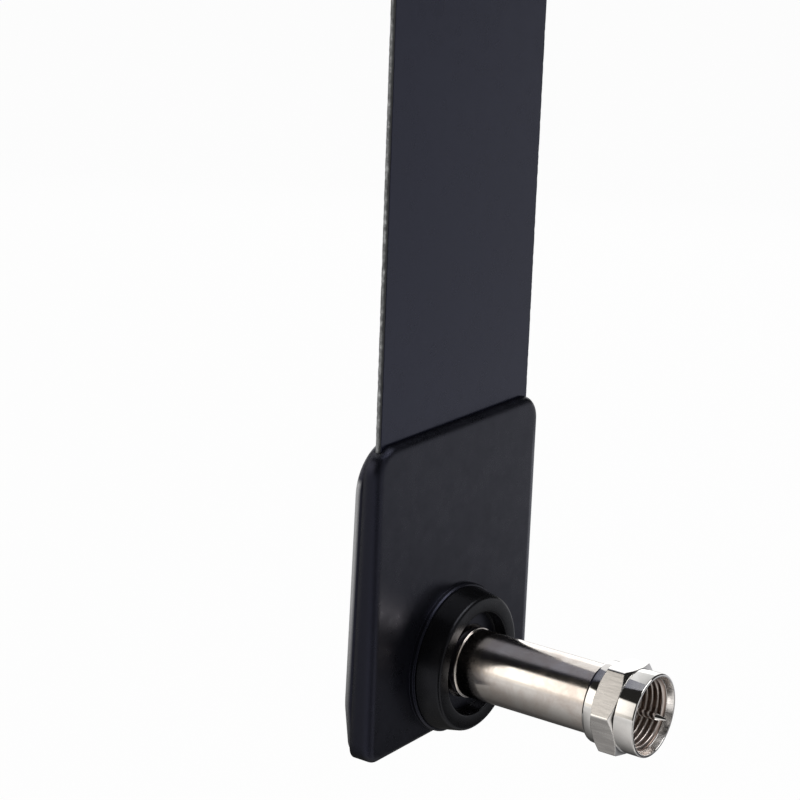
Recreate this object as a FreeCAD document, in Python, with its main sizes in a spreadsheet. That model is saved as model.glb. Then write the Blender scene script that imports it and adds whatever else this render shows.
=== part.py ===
"""Stick TV antenna: a flat blade in a thin two-part housing with a coax plug at right angles.

Millimetres. +Z runs up the blade and -Y is the way the plug points. The origin is the
middle of the mouth of the coupling nut, so the nut, sleeve and pin are turned about Y.
"""
import FreeCAD, Part
import math
import os
import Sketcher

# Driving dimensions. Every "reach" is measured back from the mouth of the nut.
SIZES = {
    # housing
    "housing_height": 42.3,
    "housing_below_axis": 9.8,
    "housing_reach": 30.6,
    "housing_taper": 0.95,
    "housing_top_radius": 3.6,
    "housing_low_radius": 2.2,
    "front_edge_radius": 0.95,
    "rear_edge_chamfer": 0.7,
    "front_wall": 0.9,
    "side_wall": 1.2,
    "rear_plate": 1.5,
    # locating pegs of the rear cover
    "peg_radius": 1.2,
    "peg_spacing": 20.0,
    "peg_drop": 10.5,
    "peg_clearance": 0.3,
    # round hub on the front cover, measured outwards from the sleeve's flange
    "platform_height": 2.2,
    "platform_wall": 0.9,
    "hub_floor": 1.0,
    "ring_height": 4.0,
    "ring_fit": 0.05,
    "ring_bore_step": 0.35,
    "ring_bore_edge": 0.15,
    "ring_land": 2.15,
    "ring_edge": 0.5,
    "ring_draft": 0.65,
    "hub_foot_stand": 0.35,
    "hub_foot_height": 0.7,
    "hub_foot_edge": 0.2,
    # blade
    "blade_width": 33.2,
    "blade_exposed": 147.5,
    "blade_corner_radius": 2.0,
    "blade_gap": 0.17,
    "blade_back_gap": 0.28,
    "blade_side_gap": 0.6,
    "blade_end_gap": 1.0,
    "slot_clearance": 0.3,
    "core_thickness": 0.6,
    "foil_thickness": 0.05,
    "film_thickness": 0.1,
    "film_tuck": 6.0,
    # printed copper on the blade
    "radiator_side_margin": 3.1,
    "radiator_split": 63.0,
    "radiator_split_gap": 4.0,
    "radiator_end_margin": 8.0,
    "radiator_window_width": 9.0,
    "radiator_window_margin": 10.0,
    "tail_width": 2.4,
    "tail_end_above_axis": 6.5,
    "feed_width": 1.6,
    "feed_overlap": 6.0,
    # coupling nut
    "nut_length": 7.6,
    "collar_length": 2.75,
    "collar_radius": 5.45,
    "collar_edge": 0.2,
    "hexagon_length": 3.25,
    "hexagon_across": 11.0,
    "hexagon_turn": 54.3,
    "hexagon_chamfer_stand": 0.05,
    "hexagon_chamfer_depth": 0.46,
    "shoulder_radius": 5.4,
    "shoulder_edge": 0.55,
    "thread_bore_radius": 4.78,
    "mouth_flare": 0.2,
    "mouth_chamfer": 0.3,
    "lip_length": 1.1,
    "nut_play": 0.1,
    "nut_running_fit": 0.08,
    # fixed part of the plug
    "post_radius": 3.15,
    "post_bore": 2.45,
    "post_flange_seat": 0.87,
    "post_flange_length": 0.95,
    "sleeve_radius": 4.58,
    "sleeve_press_gap": 0.04,
    "sleeve_end_edge": 0.12,
    "bead_stand": 0.2,
    "bead_length": 0.3,
    "bead_height": 3.5,
    "bead_clearance": 0.15,
    "sleeve_flange_seat": 0.47,
    "sleeve_flange_length": 1.0,
    "flange_clearance": 0.3,
    "insulator_setback": 0.15,
    "insulator_gap": 0.05,
    "insulator_end_gap": 0.3,
    "pin_radius": 0.45,
    "pin_shank_radius": 0.65,
    "pin_gap": 0.05,
    "pin_reach": 1.8,
    "pin_point": 0.45,
    "pin_point_radius": 0.15,
    "pin_tail": 0.5,
    "spacer_width": 1.4,
    "spacer_gap": 0.35,
    # feed parts on the back of the blade
    "solder_radius": 1.35,
    "solder_height": 0.45,
    "solder_gap": 0.03,
    "solder_top_width": 0.25,
    "balun_length": 2.0,
    "balun_width": 1.25,
    "balun_height": 0.8,
    "balun_above_axis": 6.5,
    "capacitor_length": 1.6,
    "capacitor_width": 0.8,
    "capacitor_height": 0.6,
    "capacitor_above_axis": 3.4,
    "capacitor_aside": 3.4,
    "chip_edge": 0.08,
}

doc = FreeCAD.newDocument("StickAntenna")
sheet = doc.addObject("Spreadsheet::Sheet", "Sizes")


def fill_sheet():
    """Writes each driving dimension to a cell with its name as alias."""
    for row, (name, number) in enumerate(SIZES.items(), start=1):
        sheet.set("A%d" % row, name)
        sheet.set("B%d" % row, str(number))
        sheet.setAlias("B%d" % row, name)
    doc.recompute()


def of_sheet(formula):
    """Turns the plain names of a formula into references to the sheet."""
    words = []
    word = ""
    for letter in formula + " ":
        if letter.isalnum() or letter in "._":
            word += letter
            continue
        words.append("Sizes." + word if word in SIZES else word)
        words.append(letter)
        word = ""
    return "".join(words).strip()


def number(formula):
    """The present value of a formula, in mm or degrees."""
    return float(sheet.evalExpression(of_sheet(formula)))


def total(*terms):
    """Joins formulas to one sum, each in brackets."""
    return " + ".join("(%s)" % term for term in terms)


# Places worked out from the driving dimensions
HOUSING_TOP = "housing_height - housing_below_axis"
HOUSING_BOTTOM = "0 - housing_below_axis"
HALF_INSIDE = "blade_width / 2 + blade_side_gap"
FRONT_INSIDE = "housing_reach + front_wall"
BLADE_FRONT = total(FRONT_INSIDE, "blade_gap")
FOIL_FRONT = total(BLADE_FRONT, "film_thickness")
CORE_FRONT = total(FOIL_FRONT, "foil_thickness")
CORE_BACK = total(CORE_FRONT, "core_thickness")
REAR_FILM_FRONT = total(CORE_BACK, "foil_thickness")
SEAM_TOP = total(REAR_FILM_FRONT, "film_thickness + blade_back_gap")
SEAM_BOTTOM = total(SEAM_TOP, "housing_taper")
REAR_TOP = total(SEAM_TOP, "rear_plate")
REAR_BOTTOM = total(SEAM_BOTTOM, "rear_plate")
BLADE_TOP = total(HOUSING_TOP, "blade_exposed")
BLADE_BOTTOM = total(HOUSING_BOTTOM, "side_wall + blade_end_gap")
FILM_BOTTOM = total(HOUSING_TOP, "0 - film_tuck")
SPLIT_LOW = total(HOUSING_TOP, "radiator_split")
SPLIT_HIGH = total(SPLIT_LOW, "radiator_split_gap")
RADIATOR_TOP = total(BLADE_TOP, "0 - radiator_end_margin")
PEG_LEVEL = total(HOUSING_TOP, "0 - peg_drop")
PLATFORM_FRONT = "housing_reach - platform_height"
FLOOR_BACK = total(PLATFORM_FRONT, "hub_floor")
SLEEVE_FRONT = "nut_length + nut_play"
SLEEVE_BACK = total(FLOOR_BACK, "sleeve_flange_length")
SLEEVE_BORE = "post_radius + sleeve_press_gap"
BEAD_RADIUS = "sleeve_radius + bead_stand"
HUB_HOLE = total(BEAD_RADIUS, "bead_clearance")
SLEEVE_FLANGE = total(HUB_HOLE, "sleeve_flange_seat")
HUB_CAVITY = total(SLEEVE_FLANGE, "flange_clearance")
PLATFORM = total(HUB_CAVITY, "platform_wall")
RING_BORE = total(PLATFORM, "ring_bore_step")
RING_FACE = total(RING_BORE, "ring_land")
RING_BASE = total(RING_FACE, "ring_draft")
HUB_FOOT = total(RING_BASE, "hub_foot_stand")
HUB_FOOT_FRONT = "housing_reach - hub_foot_height"
LIP_BORE = "post_radius + nut_running_fit"
POST_FLANGE_BACK = "nut_length - lip_length - nut_play"
POST_FRONT = total(POST_FLANGE_BACK, "0 - post_flange_length")
INSULATOR_FRONT = total(POST_FRONT, "insulator_setback")


def plane(body, role):
    """The origin plane of a body by its role, such as XZ_Plane."""
    for feature in body.Origin.OriginFeatures:
        if feature.Role == role:
            return feature
    raise ValueError(role)


def new_body(name):
    body = doc.addObject("PartDesign::Body", name)
    body.Label = name
    return body


def pinned(sketch, geometry, position, along, up):
    """Ties a point of the sketch to two formulas, measured from the sketch origin."""
    for kind, formula in (("DistanceX", along), ("DistanceY", up)):
        constraint = Sketcher.Constraint(kind, -1, 1, geometry, position, number(formula))
        index = sketch.addConstraint(constraint)
        sketch.setExpression("Constraints[%d]" % index, of_sheet(formula))


def add_outline(sketch, corners):
    """Adds a closed polygon whose corners are pairs of formulas."""
    points = [FreeCAD.Vector(number(along), number(up), 0) for along, up in corners]
    first = sketch.GeometryCount
    count = len(points)
    for index in range(count):
        sketch.addGeometry(Part.LineSegment(points[index], points[(index + 1) % count]))
    for index in range(count):
        after = (index + 1) % count
        sketch.addConstraint(Sketcher.Constraint("Coincident", first + index, 2, first + after, 1))
    for index, (along, up) in enumerate(corners):
        pinned(sketch, first + index, 1, along, up)


def add_circle(sketch, along, up, radius):
    """Adds a circle with its middle and radius tied to formulas."""
    middle = FreeCAD.Vector(number(along), number(up), 0)
    upright = FreeCAD.Vector(0, 0, 1)
    geometry = sketch.addGeometry(Part.Circle(middle, upright, number(radius)))
    pinned(sketch, geometry, 3, along, up)
    index = sketch.addConstraint(Sketcher.Constraint("Radius", geometry, number(radius)))
    sketch.setExpression("Constraints[%d]" % index, of_sheet(radius))


def rectangle(half_width, low, high):
    """Corners of a rectangle centred on the Z axis."""
    left = "0 - (%s)" % half_width
    return [(left, low), (half_width, low), (half_width, high), (left, high)]


def side_sketch(body, name):
    """Empty sketch on the YZ plane, with Y along and Z up."""
    sketch = body.newObject("Sketcher::SketchObject", name)
    sketch.AttachmentSupport = (plane(body, "YZ_Plane"), [""])
    sketch.MapMode = "FlatFace"
    return sketch


def front_sketch(body, name, reach):
    """Empty sketch facing -Y at the given reach, with X along and Z up."""
    sketch = body.newObject("Sketcher::SketchObject", name)
    sketch.AttachmentSupport = (plane(body, "XZ_Plane"), [""])
    sketch.MapMode = "FlatFace"
    sketch.setExpression("AttachmentOffset.Base.z", of_sheet("0 - (%s)" % reach))
    return sketch


def turn(body, name, corners, kind="PartDesign::Revolution"):
    """Revolves a profile of (reach, radius) corners about the plug axis."""
    sketch = side_sketch(body, name + "_profile")
    add_outline(sketch, corners)
    feature = body.newObject(kind, name)
    feature.Profile = sketch
    feature.ReferenceAxis = (sketch, ["H_Axis"])
    feature.Angle = 360
    doc.recompute()
    return feature


def turn_away(body, name, corners):
    """Cuts a profile of (reach, radius) corners all round the plug axis."""
    before = body.Shape.Volume
    groove = turn(body, name, corners, kind="PartDesign::Groove")
    if body.Shape.Volume >= before:
        raise RuntimeError(name + " removed nothing")
    return groove


def pad_back(body, name, sketch, length):
    """Pads a front sketch backwards, along +Y."""
    pad = body.newObject("PartDesign::Pad", name)
    pad.Profile = sketch
    pad.Reversed = True
    pad.setExpression("Length", of_sheet(length))
    doc.recompute()
    return pad


def pad_across(body, name, sketch, width):
    """Pads a side sketch to both sides of the middle plane."""
    pad = body.newObject("PartDesign::Pad", name)
    pad.Profile = sketch
    pad.Midplane = True
    pad.setExpression("Length", of_sheet(width))
    doc.recompute()
    return pad


def cut_back(body, name, sketch):
    """Cuts a front sketch backwards, along +Y, through everything behind it."""
    before = body.Shape.Volume
    pocket = body.newObject("PartDesign::Pocket", name)
    pocket.Profile = sketch
    pocket.Type = "ThroughAll"
    pocket.Reversed = False
    doc.recompute()
    if body.Shape.Volume >= before:
        raise RuntimeError(name + " removed nothing")
    return pocket


def edge_names(shape, chosen):
    """Names of the edges that a test picks."""
    return ["Edge%d" % place for place, edge in enumerate(shape.Edges, start=1) if chosen(edge)]


def round_edges(body, name, base, radius, chosen):
    """Rounds the edges of a feature that a test picks."""
    fillet = body.newObject("PartDesign::Fillet", name)
    fillet.Base = (base, edge_names(base.Shape, chosen))
    fillet.setExpression("Radius", of_sheet(radius))
    doc.recompute()
    return fillet


def is_near(first, second):
    return math.isclose(first, second, abs_tol=1e-4)


def all_at_reach(edge, reach):
    """True where the whole edge lies in a plane across Y."""
    box = edge.BoundBox
    return is_near(box.YMin, reach) and is_near(box.YMax, reach)


def is_corner_edge(edge):
    """True for a straight edge that runs from front to back at one X and one Z."""
    box = edge.BoundBox
    return is_near(box.XLength, 0) and is_near(box.ZLength, 0)


def corner_edge_at(level):
    """Test for the corner edges that lie at one height."""
    height = number(level)
    return lambda edge: is_corner_edge(edge) and is_near(edge.BoundBox.ZMax, height)


def housing_block(body, front_top, front_bottom, back_top, back_bottom):
    """Wedge between two planes, as wide and high as the housing, with rounded corners."""
    sketch = side_sketch(body, "side_profile")
    corners = [
        (front_bottom, HOUSING_BOTTOM),
        (back_bottom, HOUSING_BOTTOM),
        (back_top, HOUSING_TOP),
        (front_top, HOUSING_TOP),
    ]
    add_outline(sketch, corners)
    block = pad_across(body, "block", sketch, "2 * (%s) + 2 * side_wall" % HALF_INSIDE)
    at_top = corner_edge_at(HOUSING_TOP)
    at_bottom = corner_edge_at(HOUSING_BOTTOM)
    block = round_edges(body, "top_corners", block, "housing_top_radius", at_top)
    return round_edges(body, "low_corners", block, "housing_low_radius", at_bottom)


def make_front_cover():
    """Moulded front half: thin tray, round foot and platform for the plug, slot for the blade."""
    body = new_body("front_cover")
    front = "housing_reach"
    block = housing_block(body, front, front, SEAM_TOP, SEAM_BOTTOM)
    face = number(front)
    round_edges(body, "front_edge", block, "front_edge_radius", lambda edge: all_at_reach(edge, face))

    tray = front_sketch(body, "tray_outline", FRONT_INSIDE)
    tray_low = total(HOUSING_BOTTOM, "side_wall")
    tray_high = total(HOUSING_TOP, "0 - side_wall")
    add_outline(tray, rectangle(HALF_INSIDE, tray_low, tray_high))
    hollow = cut_back(body, "tray", tray)
    inner_radius = "housing_top_radius - side_wall"
    round_edges(body, "tray_corners", hollow, inner_radius, corner_edge_at(tray_high))

    slot = front_sketch(body, "slot_outline", FRONT_INSIDE)
    above = total(HOUSING_TOP, "side_wall")
    below = total(HOUSING_TOP, "0 - housing_top_radius")
    add_outline(slot, rectangle("blade_width / 2 + slot_clearance", below, above))
    cut_back(body, "blade_slot", slot)

    inside_wall = "housing_reach + front_wall / 2"
    turn(body, "hub_foot", [
        (HUB_FOOT_FRONT, "0"),
        (HUB_FOOT_FRONT, total(HUB_FOOT, "0 - hub_foot_edge")),
        (total(HUB_FOOT_FRONT, "hub_foot_edge"), HUB_FOOT),
        (inside_wall, HUB_FOOT),
        (inside_wall, "0"),
    ])
    below_housing = front_sketch(body, "flush_outline", PLATFORM_FRONT)
    deep_below = total(HOUSING_BOTTOM, "0 - (%s)" % HUB_FOOT)
    add_outline(below_housing, rectangle(HUB_FOOT, deep_below, HOUSING_BOTTOM))
    flush = body.newObject("PartDesign::Pocket", "flush_bottom")
    flush.Profile = below_housing
    flush.Type = "ThroughAll"
    doc.recompute()

    turn(body, "platform", [
        (PLATFORM_FRONT, "0"),
        (PLATFORM_FRONT, PLATFORM),
        (inside_wall, PLATFORM),
        (inside_wall, "0"),
    ])
    before_front = total(PLATFORM_FRONT, "0 - hub_floor")
    behind_wall = total(FRONT_INSIDE, "front_wall")
    turn_away(body, "hub_cavity", [
        (before_front, "0"),
        (before_front, HUB_HOLE),
        (FLOOR_BACK, HUB_HOLE),
        (FLOOR_BACK, HUB_CAVITY),
        (behind_wall, HUB_CAVITY),
        (behind_wall, "0"),
    ])
    return body


def make_rear_cover():
    """Flat rear half that leans with the taper of the housing and carries two pegs."""
    body = new_body("rear_cover")
    block = housing_block(body, SEAM_TOP, SEAM_BOTTOM, REAR_TOP, REAR_BOTTOM)
    rear_line = (number(REAR_BOTTOM) - number(REAR_TOP)) / number("housing_height")
    bottom = number(HOUSING_BOTTOM)

    def on_rear_face(edge):
        return all(
            is_near(vertex.Y, number(REAR_BOTTOM) - (vertex.Z - bottom) * rear_line)
            for vertex in edge.Vertexes
        )

    bevel = body.newObject("PartDesign::Chamfer", "rear_edge")
    bevel.Base = (block, edge_names(block.Shape, on_rear_face))
    bevel.setExpression("Size", of_sheet("rear_edge_chamfer"))
    doc.recompute()

    pegs = front_sketch(body, "peg_outline", total(FRONT_INSIDE, "blade_gap / 2"))
    for side in ("-1", "1"):
        add_circle(pegs, side + " * peg_spacing / 2", PEG_LEVEL, "peg_radius")
    into_plate = total(REAR_TOP, "0 - rear_plate / 2")
    length = "(%s) - (%s)" % (into_plate, total(FRONT_INSIDE, "blade_gap / 2"))
    pad_back(body, "pegs", pegs, length)
    return body


def make_hub_ring():
    """Round ring on the hub foot, with a drafted side and a flat annular face."""
    body = new_body("hub_ring")
    face = "housing_reach - ring_height"
    fitted_bore = total(PLATFORM, "ring_fit")
    turn(body, "ring", [
        (HUB_FOOT_FRONT, fitted_bore),
        (PLATFORM_FRONT, fitted_bore),
        (PLATFORM_FRONT, RING_BORE),
        (total(face, "ring_bore_edge"), RING_BORE),
        (face, total(RING_BORE, "ring_bore_edge")),
        (face, total(RING_FACE, "0 - ring_edge")),
        (total(face, "ring_edge"), RING_FACE),
        (HUB_FOOT_FRONT, RING_BASE),
    ])
    return body


def make_blade_layer(name, front, thickness, low, holes=()):
    """One full-width layer of the blade, with rounded top corners."""
    body = new_body(name)
    sketch = front_sketch(body, "outline", front)
    add_outline(sketch, rectangle("blade_width / 2", low, BLADE_TOP))
    for along, up, radius in holes:
        add_circle(sketch, along, up, radius)
    layer = pad_back(body, "layer", sketch, thickness)
    round_edges(body, "top_corners", layer, "blade_corner_radius", corner_edge_at(BLADE_TOP))
    return body


def make_blade():
    """Core board with a printed film on each face."""
    pegs = [
        (side + " * peg_spacing / 2", PEG_LEVEL, "peg_radius + peg_clearance")
        for side in ("-1", "1")
    ]
    pin_hole = ("0", "0", "pin_shank_radius + pin_gap")
    return [
        make_blade_layer("blade_core", CORE_FRONT, "core_thickness", BLADE_BOTTOM, pegs + [pin_hole]),
        make_blade_layer("blade_front_film", BLADE_FRONT, "film_thickness", FILM_BOTTOM),
        make_blade_layer("blade_rear_film", REAR_FILM_FRONT, "film_thickness", FILM_BOTTOM),
    ]


def make_radiator(name, low, high, with_tail):
    """Printed copper loop between the core and the front film."""
    body = new_body(name)
    sketch = front_sketch(body, "outline", FOIL_FRONT)
    half = "blade_width / 2 - radiator_side_margin"
    left = "0 - (%s)" % half
    corners = [(left, low), (left, high), (half, high), (half, low)]
    if with_tail:
        corners += [
            ("tail_width / 2", low),
            ("tail_width / 2", "tail_end_above_axis"),
            ("0 - tail_width / 2", "tail_end_above_axis"),
            ("0 - tail_width / 2", low),
        ]
    add_outline(sketch, corners)
    window_low = total(low, "radiator_window_margin")
    window_high = total(high, "0 - radiator_window_margin")
    add_outline(sketch, rectangle("radiator_window_width / 2", window_low, window_high))
    pad_back(body, "foil", sketch, "foil_thickness")
    return body


def make_feed_line():
    """Printed copper strip between the core and the rear film, up to the upper radiator."""
    body = new_body("feed_line")
    sketch = front_sketch(body, "outline", CORE_BACK)
    high = total(SPLIT_HIGH, "feed_overlap")
    low = "balun_above_axis + balun_length / 2 + feed_width"
    add_outline(sketch, rectangle("feed_width / 2", low, high))
    pad_back(body, "foil", sketch, "foil_thickness")
    return body


def make_coupling_nut():
    """Captive nut: threaded collar, chamfered hexagon, round shoulder and inner rear lip."""
    body = new_body("coupling_nut")
    hexagon_back = "collar_length + hexagon_length"
    sketch = front_sketch(body, "hexagon_outline", "collar_length")
    corner = "hexagon_across / 2 / cos(30)"
    corners = []
    for step in range(6):
        angle = "hexagon_turn + %d" % (step * 60)
        corners.append(("%s * cos(%s)" % (corner, angle), "%s * sin(%s)" % (corner, angle)))
    add_outline(sketch, corners)
    pad_back(body, "hexagon", sketch, "hexagon_length")

    outside = "hexagon_across"
    inner = "hexagon_across / 2 + hexagon_chamfer_stand"
    slope = "hexagon_chamfer_depth / (%s - (%s))" % (corner, inner)
    reach_out = "%s * (%s - (%s))" % (slope, outside, inner)
    for name, face, way in (("front_chamfer", "collar_length", 1), ("rear_chamfer", hexagon_back, -1)):
        deep = total(face, "%d * %s" % (way, reach_out))
        past = total(face, "%d * collar_length" % -way)
        turn_away(body, name, [(face, inner), (deep, outside), (past, outside), (past, inner)])

    middle = "collar_length + hexagon_length / 2"
    turn(body, "collar", [
        ("0", "0"),
        ("0", "collar_radius - collar_edge"),
        ("collar_edge", "collar_radius"),
        (middle, "collar_radius"),
        (middle, "0"),
    ])
    # two short cones stand for the rounded rear edge
    halfway = "0.3 * shoulder_edge"
    turn(body, "shoulder", [
        (middle, "0"),
        (middle, "shoulder_radius"),
        ("nut_length - shoulder_edge", "shoulder_radius"),
        (total("nut_length", "0 - " + halfway), total("shoulder_radius", "0 - " + halfway)),
        ("nut_length", "shoulder_radius - shoulder_edge"),
        ("nut_length", "0"),
    ])

    lip_front = "nut_length - lip_length"
    past_mouth = "0 - mouth_chamfer"
    past_end = "nut_length + lip_length"
    turn_away(body, "bore", [
        (past_mouth, "0"),
        (past_mouth, "thread_bore_radius + 2 * mouth_flare"),
        ("mouth_chamfer", "thread_bore_radius"),
        (lip_front, "thread_bore_radius"),
        (lip_front, LIP_BORE),
        (past_end, LIP_BORE),
        (past_end, "0"),
    ])
    return body


def make_connector_sleeve():
    """Turned neck of the plug, with a thin bead at the hub and a flange inside it."""
    body = new_body("connector_sleeve")
    bead_front = "housing_reach - bead_height"
    bead_back = total(bead_front, "bead_length")
    turn(body, "sleeve", [
        (SLEEVE_FRONT, SLEEVE_BORE),
        (SLEEVE_FRONT, "sleeve_radius - sleeve_end_edge"),
        (total(SLEEVE_FRONT, "sleeve_end_edge"), "sleeve_radius"),
        (bead_front, "sleeve_radius"),
        (bead_front, BEAD_RADIUS),
        (bead_back, BEAD_RADIUS),
        (bead_back, "sleeve_radius"),
        (FLOOR_BACK, "sleeve_radius"),
        (FLOOR_BACK, SLEEVE_FLANGE),
        (SLEEVE_BACK, SLEEVE_FLANGE),
        (SLEEVE_BACK, SLEEVE_BORE),
    ])
    return body


def make_connector_post():
    """Inner tube whose front flange holds the nut on the plug."""
    body = new_body("connector_post")
    flange = total(LIP_BORE, "post_flange_seat")
    turn(body, "post", [
        (POST_FRONT, "post_bore"),
        (POST_FRONT, flange),
        (POST_FLANGE_BACK, flange),
        (POST_FLANGE_BACK, "post_radius"),
        (SLEEVE_BACK, "post_radius"),
        (SLEEVE_BACK, "post_bore"),
    ])
    return body


def make_dielectric_insulator():
    """Plastic rod round the shank of the pin, inside the post."""
    body = new_body("dielectric_insulator")
    back = total(CORE_FRONT, "0 - insulator_end_gap")
    turn(body, "insulator", [
        (INSULATOR_FRONT, "pin_shank_radius + pin_gap"),
        (INSULATOR_FRONT, "post_bore - insulator_gap"),
        (back, "post_bore - insulator_gap"),
        (back, "pin_shank_radius + pin_gap"),
    ])
    return body


def make_center_pin():
    """Contact pin from its point in front of the nut to the back of the blade."""
    body = new_body("center_pin")
    tip = "0 - pin_reach"
    back = total(CORE_BACK, "pin_tail")
    turn(body, "pin", [
        (tip, "0"),
        (tip, "pin_point_radius"),
        (total(tip, "pin_point"), "pin_radius"),
        (INSULATOR_FRONT, "pin_radius"),
        (INSULATOR_FRONT, "pin_shank_radius"),
        (back, "pin_shank_radius"),
        (back, "0"),
    ])
    return body


def make_ground_spacer():
    """Metal ring that seats the sleeve flange against the blade core."""
    body = new_body("ground_spacer")
    inner = "post_radius + spacer_gap"
    outer = total(inner, "spacer_width")
    turn(body, "spacer", [
        (SLEEVE_BACK, inner),
        (SLEEVE_BACK, outer),
        (CORE_FRONT, outer),
        (CORE_FRONT, inner),
    ])
    return body


def make_signal_solder():
    """Cone of solder round the pin on the back of the blade core."""
    body = new_body("signal_solder")
    inner = "pin_shank_radius + solder_gap"
    top = total(CORE_BACK, "solder_height")
    turn(body, "solder", [
        (CORE_BACK, inner),
        (CORE_BACK, "solder_radius"),
        (top, total(inner, "solder_top_width")),
        (top, inner),
    ])
    return body


def make_chip(name, aside, above, length, width, height):
    """Small ceramic part on the back of the blade core."""
    body = new_body(name)
    sketch = front_sketch(body, "outline", CORE_BACK)
    left = "%s - (%s) / 2" % (aside, width)
    right = "%s + (%s) / 2" % (aside, width)
    low = "%s - (%s) / 2" % (above, length)
    high = "%s + (%s) / 2" % (above, length)
    add_outline(sketch, [(left, low), (right, low), (right, high), (left, high)])
    chip = pad_back(body, "chip", sketch, height)
    round_edges(body, "chip_round", chip, "chip_edge", is_corner_edge)
    return body


def make_all():
    """Builds every piece of the antenna."""
    pieces = [make_front_cover(), make_rear_cover(), make_hub_ring()]
    pieces += make_blade()
    low_end = total(FILM_BOTTOM, "tail_width / 2")
    pieces.append(make_radiator("radiator_lower", low_end, SPLIT_LOW, True))
    pieces.append(make_radiator("radiator_upper", SPLIT_HIGH, RADIATOR_TOP, False))
    pieces += [
        make_feed_line(),
        make_coupling_nut(),
        make_connector_sleeve(),
        make_connector_post(),
        make_dielectric_insulator(),
        make_center_pin(),
        make_ground_spacer(),
        make_signal_solder(),
    ]
    pieces.append(make_chip("balun_chip", "0", "balun_above_axis",
                            "balun_length", "balun_width", "balun_height"))
    pieces.append(make_chip("coupling_capacitor", "0 - capacitor_aside", "capacitor_above_axis",
                            "capacitor_length", "capacitor_width", "capacitor_height"))
    doc.recompute()
    return pieces


def check_document():
    """Stops where any object failed to recompute."""
    for item in doc.Objects:
        if "Invalid" in item.State or "Error" in item.State:
            raise RuntimeError("%s failed: %s" % (item.Label, item.State))


def export(pieces):
    """Checks and writes each piece to a file of its own."""
    os.makedirs("parts", exist_ok=True)
    for piece in pieces:
        shape = piece.Shape
        if shape.isNull() or not shape.isValid() or len(shape.Solids) != 1:
            raise RuntimeError(piece.Label + " is not one valid solid")
        shape.exportStep("parts/%s.step" % piece.Label)
        print("%-22s %9.2f mm3" % (piece.Label, shape.Volume))


fill_sheet()
all_pieces = make_all()
check_document()
export(all_pieces)
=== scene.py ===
"""Looks of the stick TV antenna: moulded housing, blade with cut edges, nickel plug and nut."""
import bmesh
import bpy
import math
import random
from mathutils import Matrix, Quaternion, Vector


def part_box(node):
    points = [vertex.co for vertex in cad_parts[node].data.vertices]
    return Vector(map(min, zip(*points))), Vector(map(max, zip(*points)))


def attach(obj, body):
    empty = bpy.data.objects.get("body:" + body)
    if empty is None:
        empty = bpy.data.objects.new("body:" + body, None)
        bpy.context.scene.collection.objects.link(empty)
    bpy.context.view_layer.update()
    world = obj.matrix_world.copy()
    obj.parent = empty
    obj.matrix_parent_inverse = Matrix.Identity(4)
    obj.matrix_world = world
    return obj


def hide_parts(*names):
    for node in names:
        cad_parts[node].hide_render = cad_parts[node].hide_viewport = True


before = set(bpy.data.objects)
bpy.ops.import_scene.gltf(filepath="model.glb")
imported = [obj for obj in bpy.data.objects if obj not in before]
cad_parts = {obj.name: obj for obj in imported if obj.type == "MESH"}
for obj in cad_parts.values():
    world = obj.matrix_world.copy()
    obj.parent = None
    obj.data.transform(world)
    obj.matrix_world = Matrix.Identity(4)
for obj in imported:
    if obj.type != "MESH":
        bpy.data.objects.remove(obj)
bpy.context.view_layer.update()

MM = 0.001

# Points of a piece this close together become one, in millimetres
MERGE_DISTANCE = 1e-5

# Steps round circles, arcs and the thread
ROUND_STEPS = 192
PEG_STEPS = 48
REAR_EDGE_STEPS = 8
REAR_CORNER_STEPS = 12
BLADE_ARC_STEPS = 10
THREAD_ROWS_A_TURN = 16

# Angles between faces above which an edge stays sharp, in degrees
SHARP_ANGLE = 30.0
TURNED_SHARP_ANGLE = 40.0
PLATE_SHARP_ANGLE = 25.0
SOLID_SHARP_ANGLE = 32.0

# Coupling nut, in millimetres along and round the plug
COLLAR_LENGTH = 2.75
COLLAR_RADIUS = 5.45
COLLAR_EDGE = 0.2
HEXAGON_END = 6.0
HEXAGON_ACROSS = 11.0
HEXAGON_CHAMFER_RADIUS = 5.55
HEXAGON_CHAMFER_DEPTH = 0.46
HEXAGON_CORNER = 0.35
TIP_TOLERANCE = 0.02
SHOULDER_RADIUS = 5.4
SHOULDER_EDGE = 0.55
LIP_BORE = 3.23
LIP_LENGTH = 1.1
LIP_EDGE = 0.08
MOUTH_RADIUS = 5.08
MOUTH_EDGE = 0.05
COUNTERSINK_STEP = 0.05
THREAD_BORE = 4.78
THREAD_CREST = 4.35
THREAD_PITCH = 0.794
THREAD_START = 0.95
THREAD_END = 5.3

# Ridge of the thread: a triangle wave made steeper and cut flat, which fades in over part of a turn
RIDGE_SLOPE = 1.6
RIDGE_ROOT = 0.3
THREAD_FADE_TURNS = 0.5

# Columns of the nut, in degrees past a corner of its hexagon
SIDE_TURN = 60
CORNER_STEPS = (0.0, 0.4, 0.8, 1.2, 1.6, 2.3, 3.4)
FLAT_STEPS = range(5, 56, 2)
POLISHED_CORNER = 1.6

# Material slots of the nut, and the ring of its outline where the brushed countersink starts
POLISHED, BRUSHED, CUT = range(3)
COUNTERSINK_RING = 1

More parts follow.
